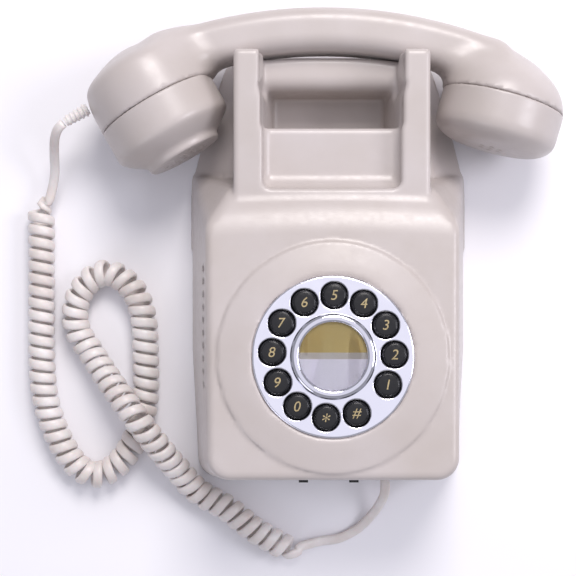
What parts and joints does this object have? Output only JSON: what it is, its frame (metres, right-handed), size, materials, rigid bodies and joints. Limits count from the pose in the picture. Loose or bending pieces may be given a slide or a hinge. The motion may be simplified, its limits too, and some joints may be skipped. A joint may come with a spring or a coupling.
{
  "type": "wall telephone",
  "caption": "Slim wall telephone with a sloping body, round push-button dial, handset on a cradle between two posts, and a curly cord.",
  "frame": {"origin": "on the flat back of the body, on its vertical middle line, 96 mm above the back bottom edge; the phone lies on its back on z = 0", "axes": "+Z points out of the wall towards the person using the phone, +Y points up the wall towards the cradle, +X points to that person's right"},
  "size_m": [0.264, 0.2731, 0.0793],
  "materials": {
    "ivory_shell": "semi-gloss moulded ABS",
    "ivory_base": "moulded ABS, fine texture",
    "cord_plastic": "soft PVC sheath",
    "chrome": "bright plated",
    "key_black": "gloss",
    "inner_black": "matt",
    "card": "printed card",
    "window": "clear polycarbonate",
    "mat_rubber": "silicone rubber",
    "board": "glass-fibre board, solder mask",
    "board_parts": "sleeves and epoxy",
    "steel": "zinc plated",
    "bell_metal": "nickel plated steel",
    "copper_wire": "varnished winding",
    "ribbon": "flat ribbon",
    "clear_plug": "clear moulded plug"
  },
  "bodies": {
    "base": {"front_cover": "ivory_shell", "back_plate": "ivory_base", "cover_screws": "steel", "dial_plate": "chrome", "card_ring": "chrome", "number_card": "card", "card_window": "window", "keypad_frame": "inner_black", "keypad_mat": "mat_rubber", "keypad_board": "board", "keypad_screws": "steel", "keypad_cable": "ribbon", "main_board": "board", "board_parts": "board_parts", "board_screws": "steel", "ringer_bracket": "steel", "ringer_coil": "copper_wire", "gongs": "bell_metal", "gong_screws": "steel", "hook_spring": "steel", "hook_switch": "inner_black", "volume_switch": "steel", "mode_switch": "steel", "handset_jack": "inner_black", "line_jack": "inner_black", "handset_tail": "cord_plastic", "cord_curl": "cord_plastic", "base_tail": "cord_plastic", "cord_plug": "clear_plug"},
    "handset": {"handset_shell": "ivory_shell", "ear_cap": "ivory_shell", "mouth_cap": "ivory_shell", "receiver_capsule": "steel", "receiver_seal": "mat_rubber", "microphone_capsule": "steel", "microphone_holder": "mat_rubber", "handset_weight": "steel", "strain_relief": "cord_plastic"},
    "hook": {"hook_bar": "ivory_shell"},
    "clapper": {"clapper": "steel"},
    "volume_knob": {"volume_knob": "inner_black"},
    "mode_knob": {"mode_knob": "inner_black"},
    "button_1": {"key_1": "key_black"},
    "button_2": {"key_2": "key_black"},
    "button_3": {"key_3": "key_black"},
    "button_4": {"key_4": "key_black"},
    "button_5": {"key_5": "key_black"},
    "button_6": {"key_6": "key_black"},
    "button_7": {"key_7": "key_black"},
    "button_8": {"key_8": "key_black"},
    "button_9": {"key_9": "key_black"},
    "button_0": {"key_0": "key_black"},
    "button_star": {"key_star": "key_black"},
    "button_hash": {"key_hash": "key_black"}
  },
  "joints": [
    {"name": "handset_lift", "type": "slide", "parent": "base", "child": "handset", "axis": [0, 1, 0], "range_m": [0, 0.045]},
    {"name": "hook_travel", "type": "slide", "parent": "base", "child": "hook", "axis": [0, 1, 0], "range_m": [0, 0.004]},
    {"name": "clapper_swing", "type": "hinge", "parent": "base", "child": "clapper", "pos_m": [0, 0.043, 0.018], "axis": [0, 0, 1], "range_deg": [-4, 4], "stiffness_Nm_per_rad": 0.002},
    {"name": "volume_slide", "type": "slide", "parent": "base", "child": "volume_knob", "axis": [1, 0, 0], "range_m": [-0.002, 0.002]},
    {"name": "mode_slide", "type": "slide", "parent": "base", "child": "mode_knob", "axis": [1, 0, 0], "range_m": [-0.002, 0.002]},
    {"name": "press_1", "type": "slide", "parent": "base", "child": "button_1", "axis": [0, -0.0872, -0.9962], "range_m": [0, 0.002], "stiffness_N_per_m": 250},
    {"name": "press_2", "type": "slide", "parent": "base", "child": "button_2", "axis": [0, -0.0872, -0.9962], "range_m": [0, 0.002], "stiffness_N_per_m": 250},
    {"name": "press_3", "type": "slide", "parent": "base", "child": "button_3", "axis": [0, -0.0872, -0.9962], "range_m": [0, 0.002], "stiffness_N_per_m": 250},
    {"name": "press_4", "type": "slide", "parent": "base", "child": "button_4", "axis": [0, -0.0872, -0.9962], "range_m": [0, 0.002], "stiffness_N_per_m": 250},
    {"name": "press_5", "type": "slide", "parent": "base", "child": "button_5", "axis": [0, -0.0872, -0.9962], "range_m": [0, 0.002], "stiffness_N_per_m": 250},
    {"name": "press_6", "type": "slide", "parent": "base", "child": "button_6", "axis": [0, -0.0872, -0.9962], "range_m": [0, 0.002], "stiffness_N_per_m": 250},
    {"name": "press_7", "type": "slide", "parent": "base", "child": "button_7", "axis": [0, -0.0872, -0.9962], "range_m": [0, 0.002], "stiffness_N_per_m": 250},
    {"name": "press_8", "type": "slide", "parent": "base", "child": "button_8", "axis": [0, -0.0872, -0.9962], "range_m": [0, 0.002], "stiffness_N_per_m": 250},
    {"name": "press_9", "type": "slide", "parent": "base", "child": "button_9", "axis": [0, -0.0872, -0.9962], "range_m": [0, 0.002], "stiffness_N_per_m": 250},
    {"name": "press_0", "type": "slide", "parent": "base", "child": "button_0", "axis": [0, -0.0872, -0.9962], "range_m": [0, 0.002], "stiffness_N_per_m": 250},
    {"name": "press_star", "type": "slide", "parent": "base", "child": "button_star", "axis": [0, -0.0872, -0.9962], "range_m": [0, 0.002], "stiffness_N_per_m": 250},
    {"name": "press_hash", "type": "slide", "parent": "base", "child": "button_hash", "axis": [0, -0.0872, -0.9962], "range_m": [0, 0.002], "stiffness_N_per_m": 250}
  ],
  "couplings": [
    {"joint": "hook_travel", "follows": "handset_lift", "ratio": 0.0888}
  ]
}
